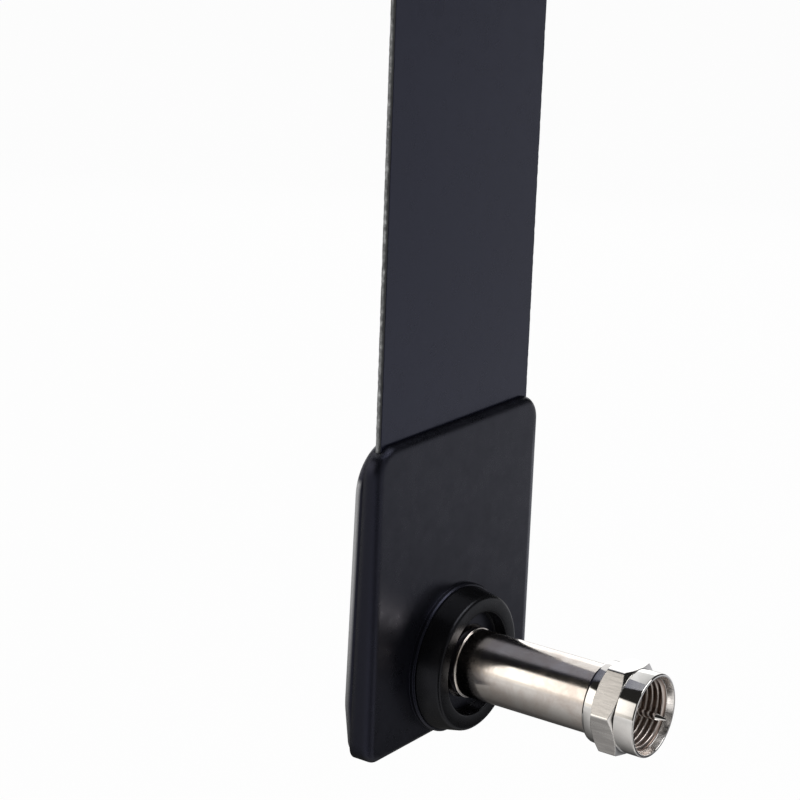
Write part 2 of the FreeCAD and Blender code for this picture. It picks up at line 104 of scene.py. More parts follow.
# Plug behind the nut, in millimetres
SLEEVE_RADIUS = 4.58
SLEEVE_BORE = 3.19
SLEEVE_END_EDGE = 0.12
BEAD_RADIUS = 4.78
BEAD_FRONT = 27.1
BEAD_LENGTH = 0.3
BEAD_EDGE = 0.13
BEAD_FOOT = 0.05
FLANGE_FRONT = 29.4
FLANGE_EDGE = 0.1
PIN_RADIUS = 0.45
PIN_SHANK_RADIUS = 0.65
PIN_POINT_RADIUS = 0.08
PIN_POINT = 1.5
PIN_TIP_EDGE = 0.04
PIN_POINT_EDGE = 0.3
PIN_SHANK_EDGE = 0.05
PIN_END_EDGE = 0.1
INSULATOR_FRONT = 5.6

# Hub ring, in millimetres
RING_BORE = 6.95
RING_SEAT_BORE = 6.65
RING_STEP = 28.4
RING_STEP_EDGE = 0.05
RING_FACE_RADIUS = 9.1
RING_BORE_EDGE = 0.2
RING_FACE_EDGE = 0.6
RING_FOOT_EDGE = 0.12

# Housing, in millimetres
HOUSING_FRONT = 30.6
HOUSING_TAPER = 0.95
REAR_PLATE = 1.5
REAR_EDGE = 0.85
REAR_TOP_RADIUS = 6.3
REAR_LOW_RADIUS = 2.6
FOOT_LEAN = 1.4
FOOT_HEIGHT = 7.6
FOOT_BEND_RADIUS = 10.0
PEG_RADIUS = 1.2
PEG_HOLE_RADIUS = 1.5
PEG_SPACING = 20.0
PEG_LEVEL = 22.0

# Blade, in millimetres
BLADE_CORNER = 2.0
PIN_HOLE_RADIUS = 0.7
BOARD_TEAR = 0.03
BOARD_PITCH = 0.28
FILM_INSET = 0.02
FILM_TEAR = 0.07
FILM_PITCH = 0.4

# Steps along the blade's torn edges: seed of the draws, and lengths as shares of the pitch
BLADE_SEED = 7
SHORTEST_STEP = 0.6
STEP_SPREAD = 0.8

# Edges that the materials soften, in millimetres: radii, and bands inwards from the housing's outline
MOULD_EDGE = 0.12
OUTLINE_EDGE = 1.2
OUTLINE_SIDE_BAND = (4.9, 3.4)
OUTLINE_TOP_BAND = (6.0, 4.5)
POLISHED_EDGE = 0.06
BRUSHED_EDGE = 0.12

# Painted highlight down the right edge of the front face: a paler line that stands in for light caught on
# that edge, in millimetres
EDGE_HIGHLIGHT_INSET = 0.8
EDGE_HIGHLIGHT_HALF_WIDTH = 0.45
EDGE_HIGHLIGHT_BLUR = 0.18
EDGE_HIGHLIGHT_DEPTH_BAND = (0.6, 1.0)
EDGE_HIGHLIGHT_LOWERED = 1.0
EDGE_HIGHLIGHT_SHORTER = 5.0
EDGE_HIGHLIGHT_FADE = 2.0
EDGE_HIGHLIGHT_GREY = (0.058, 0.06, 0.068)

# Painted highlight, a pale strip along the rear edge that stands in for light caught there: bands in
# millimetres inwards from the outline and up from the foot
REAR_HIGHLIGHT_DEPTH_BAND = (1.15, 0.7)
REAR_HIGHLIGHT_SIDE_BAND = (1.3, 1.1)
REAR_HIGHLIGHT_TOP_BAND = (4.8, 4.2)
REAR_HIGHLIGHT_FOOT_BAND = (3.0, 22.0)
REAR_HIGHLIGHT_FOOT_SHARE = 0.15
REAR_HIGHLIGHT_GREY = (0.44, 0.44, 0.44)

# Cut edge of the board, in millimetres behind its front face
TORN_BAND = (0.18, 0.56)
TORN_WANDER = 0.1

# Margins of the thread's painted shade, which darkens its roots below the bright crests, in millimetres from
# its two radii
CREST_SHINE = 0.05
ROOT_SHADE = 0.1

# Sky in reflections: bounds on the parts of a direction, where 1 is straight along an axis
CEILING_AT_LEFT = 0.635
CEILING_AT_RIGHT = 0.93
CEILING_BAND = (-0.2, 0.15)
CEILING_BLUR = 0.025
BEHIND_BAND = (0.2, 0.45)
LEFT_BAND = (-0.4, 0.1)
LEFT_RISE_BAND = (0.03, 0.2)
PANEL_AHEAD_BAND = (-0.93, -0.9)

# Middle, half width and blur of the panel in that sky
PANEL_ACROSS = (0.04, 0.3, 0.06)
PANEL_UP = (0.25, 0.17, 0.03)

# Strengths of that sky and of the even fill light, and their colours
LEFT_GLOW = 0.3
PANEL_GLOW = 0.8
SKY_LOW = 0.02
FILL_STRENGTH = 0.6
WHITE = (1.0, 1.0, 1.0)
WARM_SKY = (1.0, 0.955, 0.885)

# Floor: half side and level in metres, grey of its paper, and how far it is white to the camera
FLOOR_HALF = 6.0
FLOOR_LEVEL = -0.12
FLOOR_PAPER = 0.8
FLOOR_WHITE_SHARE = 0.95

# Floor as a glowing picture painted for reflections, with a painted shadow past a slanting line: direction
# of that line in degrees, and greys by metres past it
FLOOR_SLANT = 150.0
FLOOR_GREYS = (
    (-0.1, 0.95),
    (-0.03, 0.78),
    (0.0, 0.64),
    (0.01, 0.54),
    (0.02, 0.45),
    (0.03, 0.35),
    (0.04, 0.26),
    (0.05, 0.19),
    (0.06, 0.15),
    (0.075, 0.11),
    (0.09, 0.06),
    (0.1, 0.06),
)

# The same painted floor to the right, darker near the middle: greys by metres from the middle
RIGHT_GREYS = (
    (0.05, 0.4),
    (0.1, 0.3),
    (0.14, 0.12),
    (0.2, 0.04),
    (0.25, 0.05),
    (0.3, 0.4),
    (0.33, 0.55),
    (0.37, 0.61),
    (0.42, 0.66),
    (0.5, 0.63),
    (0.75, 0.58),
)

# Tints of those greys, bands in metres from the middle with the greys beyond them, and a dark side
WARM = (1.0, 0.985, 0.97)
COOL = (0.97, 0.975, 1.015)
FAR_BAND = (0.15, 0.55)
FAR_GREY = (0.74, 0.73, 0.72)
HORIZON_BAND = (0.8, 3.0)
HORIZON_GREY = (0.96, 0.95, 0.94)
CAMERA_SIDE_GREY = (0.03, 0.03, 0.03)

# Middle, half width and blur of the floor's sectors, in degrees
RIGHT_SECTOR = (-25, 38, 8)
CAMERA_SECTOR = (-127, 18, 5)

# Soft boxes: name, place, width, height, radiance, colour and roll in degrees
LAMP_TARGET = (0.0, 0.015, 0.02)
LAMPS = (
    ("left_back_box", (-0.584, 0.409, 0.305), 0.5, 0.47, 0.35, (1.0, 0.96, 0.92), 0.0),
    ("right_back_box", (0.75, 0.5, 0.2), 0.6, 0.5, 0.6, WHITE, 0.0),
    ("high_front_box", (0.16, -0.377, 0.711), 0.7, 0.45, 3.7, WHITE, -25.5),
)

# Camera: place in metres, angles in degrees, lens and sensor in millimetres
CAMERA_PLACE = (-0.247734, -0.132896, 0.120005)
CAMERA_AZIMUTH = -54.972
CAMERA_ELEVATION = 15.982
CAMERA_ROLL = 2.115
CAMERA_LENS = 108.0
CAMERA_SENSOR = 36.0
CAMERA_CLIP = (0.01, 20.0)


def box_mm(node):
    """Lowest and highest corner of a solid, in millimetres."""
    low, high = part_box(node)
    return low / MM, high / MM


def set_smooth(obj, degrees):
    """Smooth shading with sharp edges kept above an angle."""
    for face in obj.data.polygons:
        face.use_smooth = True
    obj.data.set_sharp_from_angle(angle=math.radians(degrees))


def weigh_normals(obj):
    """Lets the large faces set the shading, so that small roundings don't bend it."""
    modifier = obj.modifiers.new("weighted_normals", "WEIGHTED_NORMAL")
    modifier.mode = "FACE_AREA"
    modifier.weight = 100
    modifier.keep_sharp = True


def linked_object(name, data):
    """New object of some data, linked to the scene."""
    obj = bpy.data.objects.new(name, data)
    bpy.context.scene.collection.objects.link(obj)
    return obj


def object_from(bm, name, degrees=SHARP_ANGLE):
    """Cleans a bmesh in millimetres and makes an object of it in metres."""
    bmesh.ops.remove_doubles(bm, verts=bm.verts, dist=MERGE_DISTANCE)
    bmesh.ops.recalc_face_normals(bm, faces=bm.faces)
    bmesh.ops.scale(bm, vec=(MM, MM, MM), verts=bm.verts)
    mesh = bpy.data.meshes.new(name)
    bm.to_mesh(mesh)
    bm.free()
    obj = linked_object(name, mesh)
    set_smooth(obj, degrees)
    weigh_normals(obj)
    return obj


def rounded(corners, steps=6):
    """Replaces each corner (a, b, radius) of a closed outline by an arc."""
    points = []
    count = len(corners)
    for index, (along, out, radius) in enumerate(corners):
        here = Vector((along, out))
        if radius <= 0:
            points.append(here)
            continue
        before = Vector(corners[index - 1][:2]) - here
        after = Vector(corners[(index + 1) % count][:2]) - here
        half = before.angle(after) / 2
        reach = radius / math.tan(half)
        middle = here + (before.normalized() + after.normalized()).normalized() * radius / math.sin(half)
        start = here + before.normalized() * reach - middle
        end = here + after.normalized() * reach - middle
        sweep = start.angle_signed(end)
        for step in range(steps + 1):
            turn = Matrix.Rotation(-sweep * step / steps, 2)
            points.append(middle + turn @ start)
    return points


def circle(across, level, radius):
    """Points round a circle in X and Z."""
    angles = [math.tau * step / PEG_STEPS for step in range(PEG_STEPS)]
    return [(across + radius * math.cos(angle), level + radius * math.sin(angle)) for angle in angles]


def ring_point(along, radius, angle):
    """A point at an angle round the plug axis, counted from +X towards +Z."""
    return Vector((radius * math.cos(angle), along, radius * math.sin(angle)))


def join_rings(bm, first, second, material=0):
    """Quads between two closed rows of vertices."""
    count = len(first)
    faces = []
    for index in range(count):
        after = (index + 1) % count
        face = bm.faces.new([first[index], first[after], second[after], second[index]])
        face.material_index = material
        faces.append(face)
    return faces


def lathe(name, corners):
    """Turned piece from a closed outline of (along, radius, rounding) corners."""
    bm = bmesh.new()
    rings = []
    for along, radius in rounded(corners):
        rings.append([
            bm.verts.new(ring_point(along, max(radius, 0.0), math.tau * step / ROUND_STEPS))
            for step in range(ROUND_STEPS)
        ])
    for index, ring in enumerate(rings):
        join_rings(bm, ring, rings[(index + 1) % len(rings)])
    return object_from(bm, name, TURNED_SHARP_ANGLE)


def new_material(name, colour, roughness, metallic=0.0):
    """Node material with its principled shader and plain starting values."""
    material = bpy.data.materials.new(name)
    material.use_nodes = True
    shader = material.node_tree.nodes["Principled BSDF"]
    shader.inputs["Base Color"].default_value = (*colour, 1.0)
    shader.inputs["Roughness"].default_value = roughness
    shader.inputs["Metallic"].default_value = metallic
    return material, material.node_tree, shader


def surface(tree, scale=(1, 1, 1)):
    """Object coordinates of a surface, scaled apart in each direction."""
    source = tree.nodes.new("ShaderNodeTexCoord")
    mapping = tree.nodes.new("ShaderNodeMapping")
    mapping.inputs["Scale"].default_value = scale
    tree.links.new(source.outputs["Object"], mapping.inputs["Vector"])
    return mapping.outputs["Vector"]


def parts_of(tree, vector):
    """The X, Y and Z sockets of a vector."""
    split = tree.nodes.new("ShaderNodeSeparateXYZ")
    tree.links.new(vector, split.inputs["Vector"])
    return split.outputs


def place_mm(tree):
    """Sockets across, along and up of a surface point, in millimetres."""
    return parts_of(tree, surface(tree, (1 / MM, 1 / MM, 1 / MM)))


def noise(tree, vector, per_metre, detail=4.0, roughness=0.55, distortion=0.0):
    """Noise factor from 0 to 1, with so many cells in a metre."""
    node = tree.nodes.new("ShaderNodeTexNoise")
    node.inputs["Scale"].default_value = per_metre
    node.inputs["Detail"].default_value = detail
    node.inputs["Roughness"].default_value = roughness
    node.inputs["Distortion"].default_value = distortion
    tree.links.new(vector, node.inputs["Vector"])
    return node.outputs["Fac"]


def spread(tree, value, low, high, start=0.35, end=0.65):
    """Maps a factor between two bounds to a number between low and high."""
    node = tree.nodes.new("ShaderNodeMapRange")
    node.inputs["From Min"].default_value = start
    node.inputs["From Max"].default_value = end
    node.inputs["To Min"].default_value = low
    node.inputs["To Max"].default_value = high
    tree.links.new(value, node.inputs["Value"])
    return node.outputs["Result"]


def band(tree, value, low, high, bounds):
    """Number that goes from low to high between two bounds."""
    start, end = bounds
    return spread(tree, value, low, high, start=start, end=end)


def inwards(tree, value, edge, depths, low, high):
    """Number that goes from low to high between two depths inwards from an edge."""
    return band(tree, value, low, high, [edge - depth for depth in depths])


def combine(tree, operation, first, second):
    """Math node on two values, each a socket or a number."""
    node = tree.nodes.new("ShaderNodeMath")
    node.operation = operation
    for socket, value in zip(node.inputs, (first, second)):
        if isinstance(value, (int, float)):
            socket.default_value = value
        else:
            tree.links.new(value, socket)
    return node.outputs["Value"]


def product(tree, first, *others):
    """All factors multiplied together."""
    for other in others:
        first = combine(tree, "MULTIPLY", first, other)
    return first


def distance(tree, first, second):
    """Distance from an axis, from the two coordinates across it."""
    squares = combine(tree, "ADD", combine(tree, "POWER", first, 2.0), combine(tree, "POWER", second, 2.0))
    return combine(tree, "SQRT", squares, 0.0)


def window(tree, value, middle, half_width, blur):
    """1 within half a width of the middle and 0 beyond it, with a soft border."""
    offset = combine(tree, "SUBTRACT", value, middle)
    away = combine(tree, "ABSOLUTE", offset, 0.0)
    return spread(tree, away, 1.0, 0.0, start=half_width - blur, end=half_width + blur)


def blend(tree, factor, first, second):
    """Mixes two colours by a factor, each a tuple or a socket."""
    node = tree.nodes.new("ShaderNodeMix")
    node.data_type = "RGBA"
    tree.links.new(factor, node.inputs["Factor"])
    for socket, colour in ((node.inputs[6], first), (node.inputs[7], second)):
        if isinstance(colour, tuple):
            socket.default_value = (*colour, 1.0)
        else:
            tree.links.new(colour, socket)
    return node.outputs[2]


def paint(tree, shader, factor, first, second):
    """Gives a shader a base colour mixed from two colours."""
    tree.links.new(blend(tree, factor, first, second), shader.inputs["Base Color"])


def paint_over(material, part, colour):
    """Lays a colour over a material's base colour, where the part is 1."""
    tree = material.node_tree
    shader = tree.nodes["Principled BSDF"]
    below = shader.inputs["Base Color"].links[0].from_socket
    paint(tree, shader, part, below, colour)


def vary_roughness(tree, shader, factor, low, high):
    """Lets the roughness follow a noise between two values."""
    tree.links.new(spread(tree, factor, low, high), shader.inputs["Roughness"])


def add_bump(tree, shader, height, strength, depth, below=None):
    """Bump on top of another normal, with its depth in millimetres."""
    node = tree.nodes.new("ShaderNodeBump")
    node.inputs["Strength"].default_value = strength
    node.inputs["Distance"].default_value = depth * MM
    tree.links.new(height, node.inputs["Height"])
    if below is not None:
        tree.links.new(below, node.inputs["Normal"])
    tree.links.new(node.outputs["Normal"], shader.inputs["Normal"])
    return node.outputs["Normal"]


def soft_edges(tree, radius):
    """Normal that rounds sharp edges by a small radius, in millimetres."""
    node = tree.nodes.new("ShaderNodeBevel")
    node.samples = 6
    node.inputs["Radius"].default_value = radius * MM
    return node.outputs["Normal"]


def wider_at_outline(tree):
    """Edge radius that grows towards the outline of the housing, away from its round foot."""
    high = box_mm("rear_cover")[1]
    across, _, up = place_mm(tree)
    aside = combine(tree, "ABSOLUTE", across, 0.0)
    at_side = inwards(tree, aside, high.x, OUTLINE_SIDE_BAND, MOULD_EDGE * MM, OUTLINE_EDGE * MM)
    at_top = inwards(tree, up, high.z, OUTLINE_TOP_BAND, MOULD_EDGE * MM, OUTLINE_EDGE * MM)
    return combine(tree, "MAXIMUM", at_side, at_top)


def moulded_plastic(name, dark, light, tint, ior, roughness, grain, wide_outline=False):
    """Satin moulded plastic with a fine spark-eroded grain and faint flow marks."""
    material, tree, shader = new_material(name, dark, roughness)
    plain = surface(tree)
    flow = noise(tree, plain, 60, detail=3)
    paint(tree, shader, flow, dark, light)
    fine = noise(tree, plain, 5200, detail=3, roughness=0.6)
    mottle = noise(tree, plain, 340, detail=5, roughness=0.7)
    vary_roughness(tree, shader, mottle, roughness - 0.05, roughness + 0.06)
    shader.inputs["IOR"].default_value = ior
    shader.inputs["Specular Tint"].default_value = (*tint, 1.0)
    edge = soft_edges(tree, MOULD_EDGE)
    if wide_outline:
        tree.links.new(wider_at_outline(tree), edge.node.inputs["Radius"])
    wave = add_bump(tree, shader, mottle, 0.07, 0.02, below=edge)
    add_bump(tree, shader, fine, grain, 0.02, below=wave)
    return material


def housing_plastic(name):
    """Blue-black plastic of both halves of the housing."""
    return moulded_plastic(
        name,
        dark=(0.002, 0.0021, 0.0032),
        light=(0.0032, 0.0034, 0.0046),
        tint=(0.64, 0.665, 1.0),
        ior=1.41,
        roughness=0.3,
        grain=0.05,
        wide_outline=True,
    )


def hub_plastic():
    """Neutral black plastic of the hub ring."""
    return moulded_plastic(
        "hub_look",
        dark=(0.0016, 0.0016, 0.0018),
        light=(0.0026, 0.0026, 0.003),
        tint=(0.85, 0.87, 1.0),
        ior=1.32,
        roughness=0.28,
        grain=0.04,
    )


def front_cover_plastic():
    """Housing plastic with a painted highlight, a slightly paler line down the right edge of the front face.
    """
    material = housing_plastic("front_cover_look")
    tree = material.node_tree
    low, high = box_mm("front_cover")
    across, along, up = place_mm(tree)
    line = window(tree, across, high.x - EDGE_HIGHLIGHT_INSET, EDGE_HIGHLIGHT_HALF_WIDTH, EDGE_HIGHLIGHT_BLUR)
    in_front = band(tree, along, 1.0, 0.0, [HOUSING_FRONT + depth for depth in EDGE_HIGHLIGHT_DEPTH_BAND])
    middle = (high.z + low.z) / 2 - EDGE_HIGHLIGHT_LOWERED
    height = window(tree, up, middle, (high.z - low.z) / 2 - EDGE_HIGHLIGHT_SHORTER, EDGE_HIGHLIGHT_FADE)
    # Paints the right edge's highlight into the base colour as a paler line
    paint_over(material, product(tree, line, in_front, height), EDGE_HIGHLIGHT_GREY)
    return material


def rear_cover_plastic():
    """Housing plastic with a painted highlight, a pale strip up its rear edge, which fades at the foot and
    ends at the corner.
    """
    material = housing_plastic("rear_cover_look")
    tree = material.node_tree
    low, high = box_mm("rear_cover")
    lean = HOUSING_TAPER / (high.z - low.z)
    across, along, up = place_mm(tree)
    level = combine(tree, "SUBTRACT", up, low.z)
    upright = combine(tree, "ADD", along, combine(tree, "MULTIPLY", level, lean))
    at_rear = inwards(tree, upright, high.y, REAR_HIGHLIGHT_DEPTH_BAND, 0.0, 1.0)
    aside = combine(tree, "ABSOLUTE", across, 0.0)
    at_side = inwards(tree, aside, high.x, REAR_HIGHLIGHT_SIDE_BAND, 0.0, 1.0)
    above_foot = band(tree, level, REAR_HIGHLIGHT_FOOT_SHARE, 1.0, REAR_HIGHLIGHT_FOOT_BAND)
    below_corner = inwards(tree, up, high.z, REAR_HIGHLIGHT_TOP_BAND, 1.0, 0.0)
    # Paints the rear edge's highlight into the base colour as a pale strip
    paint_over(material, product(tree, at_rear, at_side, above_foot, below_corner), REAR_HIGHLIGHT_GREY)
    return material


def blade_film():
    """Matt charcoal print film with a faint cloudy sheen."""
    dark = (0.0043, 0.0046, 0.0085)
    light = (0.006, 0.0064, 0.0115)
    material, tree, shader = new_material("blade_film_look", dark, 0.25)
    shader.inputs["IOR"].default_value = 1.44
    shader.inputs["Specular Tint"].default_value = (0.56, 0.61, 1.0, 1.0)
    plain = surface(tree)
    cloud = noise(tree, plain, 45, detail=3)
    paint(tree, shader, cloud, dark, light)
    fine = noise(tree, plain, 6500, detail=2)
    mottle = noise(tree, plain, 420, detail=4)
    vary_roughness(tree, shader, mottle, 0.22, 0.28)
    add_bump(tree, shader, fine, 0.06, 0.01)
    return material


def torn_film():
    """Cut edge of the print film: greyish, with pale torn spots."""
    material, tree, shader = new_material("torn_film_look", (0.2, 0.2, 0.2), 0.7)
    spots = noise(tree, surface(tree), 900, detail=4)
    paint(tree, shader, spots, (0.1, 0.1, 0.105), (0.5, 0.5, 0.5))
    add_bump(tree, shader, spots, 0.4, 0.02)
    return material


def cut_board():
    """Sawn glass fibre board: dark in front, with torn pale fibres towards the rear."""
    dark = (0.026, 0.027, 0.03)
    material, tree, shader = new_material("cut_board_look", dark, 0.75)
    front = box_mm("blade_core")[0].y
    pits = noise(tree, surface(tree), 1100, detail=5, roughness=0.7)
    dots = noise(tree, surface(tree, (0.4, 0.4, 1)), 900, detail=2)
    fibres = spread(tree, dots, 0.45, 1.0, start=0.46, end=0.62)
    wander = spread(tree, pits, -TORN_WANDER, TORN_WANDER)
    _, along, _ = place_mm(tree)
    depth = combine(tree, "ADD", along, wander)
    at_rear = band(tree, depth, 0.0, 1.0, [front + behind for behind in TORN_BAND])
    torn = blend(tree, pits, (0.25, 0.255, 0.26), (0.72, 0.73, 0.72))
    paint(tree, shader, product(tree, at_rear, fibres), dark, torn)
    add_bump(tree, shader, pits, 0.6, 0.04)
    return material


def polished_nickel(name, light, dark, roughness, ripple):
    """Bright nickel plate with turning marks, soft ripples and faint stains."""
    material, tree, shader = new_material(name, light, roughness, metallic=1.0)
    stain = noise(tree, surface(tree), 260, detail=5, roughness=0.65, distortion=0.4)
    patches = spread(tree, stain, 0.0, 1.0, start=0.38, end=0.62)
    paint(tree, shader, patches, light, dark)
    vary_roughness(tree, shader, stain, roughness * 0.7, roughness * 1.5)
    marks = noise(tree, surface(tree, (0.05, 1, 0.05)), 5200, detail=3)
    edge = soft_edges(tree, POLISHED_EDGE)
    wave = add_bump(tree, shader, stain, ripple, 0.02, below=edge)
    add_bump(tree, shader, marks, 0.05, 0.004, below=wave)
    return material


def neck_nickel():
    """Warm and slightly rippled nickel of the neck and of the post inside it."""
    return polished_nickel("neck_look", (0.8, 0.76, 0.72), (0.68, 0.61, 0.56), roughness=0.14, ripple=0.16)


def collar_nickel():
    """Smoother and whiter nickel of the nut and the pin."""
    return polished_nickel("collar_look", (0.8, 0.79, 0.77), (0.72, 0.7, 0.68), roughness=0.07, ripple=0.05)


def brushed_nickel():
    """Nickel ground along the axis, for the flats of the hexagon."""
    light = (0.88, 0.855, 0.83)
    dark = (0.7, 0.675, 0.655)
    material, tree, shader = new_material("brushed_nickel_look", light, 0.24, metallic=1.0)
    lines = noise(tree, surface(tree, (1, 0.1, 1)), 3600, detail=4, roughness=0.7)
    broad = noise(tree, surface(tree, (1, 0.16, 1)), 1100, detail=3)
    streaks = combine(tree, "MULTIPLY", combine(tree, "ADD", lines, broad), 0.5)
    shade = spread(tree, streaks, 0.0, 1.0, start=0.4, end=0.6)
    paint(tree, shader, shade, dark, light)
    vary_roughness(tree, shader, broad, 0.2, 0.28)
    edge = soft_edges(tree, BRUSHED_EDGE)
    wave = add_bump(tree, shader, broad, 0.12, 0.02, below=edge)
    add_bump(tree, shader, lines, 0.25, 0.012, below=wave)
    return material


def thread_metal():
    """Cut thread: bright crests over roots painted darker and browner in blotches, as shade."""
    crest = (0.7, 0.64, 0.6)
    material, tree, shader = new_material("thread_look", crest, 0.34, metallic=1.0)
    stain = noise(tree, surface(tree), 700, detail=5, roughness=0.7)
    across, _, up = place_mm(tree)
    radius = distance(tree, across, up)
    depth = band(tree, radius, 0.0, 1.0, (THREAD_CREST + CREST_SHINE, THREAD_BORE - ROOT_SHADE))
    roots = blend(tree, stain, (0.27, 0.2, 0.17), (0.4, 0.32, 0.28))
    # Painted shade: the colour darkens with depth from the crests into the roots
    paint(tree, shader, depth, crest, roots)
    vary_roughness(tree, shader, stain, 0.28, 0.4)
    add_bump(tree, shader, stain, 0.1, 0.02)
    return material


def blotched(name, first, second, roughness, per_metre, detail, bump, depth, metallic=0.0):
    """Plain look of a hidden part: two colours in blotches, with a light grain."""
    material, tree, shader = new_material(name, first, roughness, metallic)
    blotch = noise(tree, surface(tree), per_metre, detail=detail)
    paint(tree, shader, blotch, first, second)
    add_bump(tree, shader, blotch, bump, depth)
    return material


def insulator_plastic():
    """White polyethylene of the insulator."""
    return blotched(
        "insulator_look", (0.42, 0.39, 0.35), (0.6, 0.57, 0.52),
        roughness=0.5, per_metre=900, detail=3, bump=0.2, depth=0.03,
    )


def copper_foil():
    """Etched copper with a light tarnish."""
    return blotched(
        "copper_look", (0.72, 0.38, 0.22), (0.42, 0.2, 0.12),
        roughness=0.35, per_metre=300, detail=4, bump=0.1, depth=0.01, metallic=1.0,
    )


def spacer_brass():
    """Plain brass of the spacer between sleeve and board."""
    return blotched(
        "spacer_look", (0.7, 0.55, 0.32), (0.5, 0.38, 0.2),
        roughness=0.3, per_metre=800, detail=4, bump=0.15, depth=0.02, metallic=1.0,
    )


def solder_metal():
    """Dull grey solder."""
    return blotched(
        "solder_look", (0.66, 0.67, 0.68), (0.5, 0.5, 0.5),
        roughness=0.28, per_metre=800, detail=4, bump=0.15, depth=0.02, metallic=1.0,
    )


def chip_ceramic():
    """Matt brown ceramic with fine speckles."""
    return blotched(
        "ceramic_look", (0.22, 0.16, 0.11), (0.13, 0.09, 0.06),
        roughness=0.6, per_metre=4200, detail=3, bump=0.2, depth=0.01,
    )


def hidden_looks():
    """Looks of the parts inside the plug and the housing, by solid."""
    copper = copper_foil()
    ceramic = chip_ceramic()
    return {
        "dielectric_insulator": insulator_plastic(),
        "radiator_lower": copper,
        "radiator_upper": copper,
        "feed_line": copper,
        "ground_spacer": spacer_brass(),
        "signal_solder": solder_metal(),
        "balun_chip": ceramic,
        "coupling_capacitor": ceramic,
    }


def give(obj, *materials):
    """Sets the material slots of a piece, and leaves each face in its slot."""
    slots = obj.data.materials
    for index, material in enumerate(materials):
        if index < len(slots):
            slots[index] = material
        else:
            slots.append(material)


def finish_piece(obj, body, node):
    """Lets a piece stand for a solid and ride on its body."""
    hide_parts(node)
    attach(obj, body)


def clamped(value):
    """A value held between 0 and 1."""
    return min(1.0, max(0.0, value))


def hexagon_corner_angle():
    """Angle of a corner of the nut's hexagon, read from the solid."""
    corner = HEXAGON_ACROSS / 2 / math.cos(math.pi / 6)
    tips = [v.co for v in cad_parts["coupling_nut"].data.vertices
            if Vector((v.co.x, v.co.z)).length > (corner - TIP_TOLERANCE) * MM]
    return math.atan2(tips[0].z, tips[0].x) % (math.pi / 3)


def nut_angles(corner):
    """Angles of the nut's columns, close together at the corners of its hexagon."""
    past_flat = [SIDE_TURN - step for step in CORNER_STEPS[:0:-1]]
    steps = [*CORNER_STEPS, *FLAT_STEPS, *past_flat]
    return [corner + math.radians(SIDE_TURN * side + step) for side in range(6) for step in steps]


def hexagon_radius(past_corner):
    """Distance from the axis to the hexagon with rounded corners, at an angle past a corner."""
    half = HEXAGON_ACROSS / 2
    straight = half - HEXAGON_CORNER
    from_middle = abs(past_corner % (math.pi / 3) - math.pi / 6)
    flat_end = math.atan(straight * math.tan(math.pi / 6) / half)
    if from_middle <= flat_end:
        return half / math.cos(from_middle)
    arc_middle = straight / math.cos(math.pi / 6)
    from_corner = math.pi / 6 - from_middle
    offset = arc_middle * math.sin(from_corner)
    return arc_middle * math.cos(from_corner) + math.sqrt(HEXAGON_CORNER ** 2 - offset ** 2)


def chamfer_reach(radius):
    """How far the turned chamfer reaches along the hexagon where it has some radius."""
    over = max(0.0, radius - HEXAGON_CHAMFER_RADIUS)
    widest = HEXAGON_ACROSS / 2 / math.cos(math.pi / 6)
    return over * HEXAGON_CHAMFER_DEPTH / (widest - HEXAGON_CHAMFER_RADIUS)


def nut_front():
    """Outline from the thread's start over the countersink and the collar to the hexagon."""
    return rounded([
        (THREAD_START, THREAD_BORE, 0.0),
        (THREAD_START, THREAD_BORE + COUNTERSINK_STEP, 0.0),
        (0.0, MOUTH_RADIUS, MOUTH_EDGE),
        (0.0, COLLAR_RADIUS, COLLAR_EDGE),
        (COLLAR_LENGTH, COLLAR_RADIUS, 0.0),
        (COLLAR_LENGTH, THREAD_BORE, 0.0),
    ])[:-1]


def nut_rear():
    """Outline from the hexagon over the shoulder and the inner lip to the thread's end."""
    end = box_mm("coupling_nut")[1].y
    return rounded([
        (HEXAGON_END, THREAD_BORE, 0.0),
        (HEXAGON_END, SHOULDER_RADIUS, 0.0),
        (end, SHOULDER_RADIUS, SHOULDER_EDGE),
        (end, LIP_BORE, LIP_EDGE),
        (end - LIP_LENGTH, LIP_BORE, 0.0),
        (end - LIP_LENGTH, THREAD_BORE, 0.0),
        (THREAD_END, THREAD_BORE, 0.0),
    ])[1:]


def nut_rings(radii):
    """Rings of (along, radius) places, each with the slot of the faces that follow it."""
    count = len(radii)
    chamfered = [min(radius, HEXAGON_CHAMFER_RADIUS) for radius in radii]
    reaches = [chamfer_reach(radius) for radius in radii]
    rings = [([tuple(point)] * count, POLISHED) for point in nut_front()]
    rings[COUNTERSINK_RING] = (rings[COUNTERSINK_RING][0], BRUSHED)
    rings.append(([(COLLAR_LENGTH, radius) for radius in chamfered], POLISHED))
    rings.append(([(COLLAR_LENGTH + reach, radius) for reach, radius in zip(reaches, radii)], BRUSHED))
    rings.append(([(HEXAGON_END - reach, radius) for reach, radius in zip(reaches, radii)], POLISHED))
    rings.append(([(HEXAGON_END, radius) for radius in chamfered], POLISHED))
    rings += [([tuple(point)] * count, POLISHED) for point in nut_rear()]
    return rings


def polish_corners(faces, angles):
    """Puts the narrow faces beside the corners of the hexagon in the polished slot."""
    for index, face in enumerate(faces):
        after = angles[(index + 1) % len(angles)]
        middle = angles[index] + (after - angles[index]) % math.tau / 2
        past_corner = math.degrees(middle - angles[0]) % SIDE_TURN
        if min(past_corner, SIDE_TURN - past_corner) < POLISHED_CORNER:
            face.material_index = POLISHED


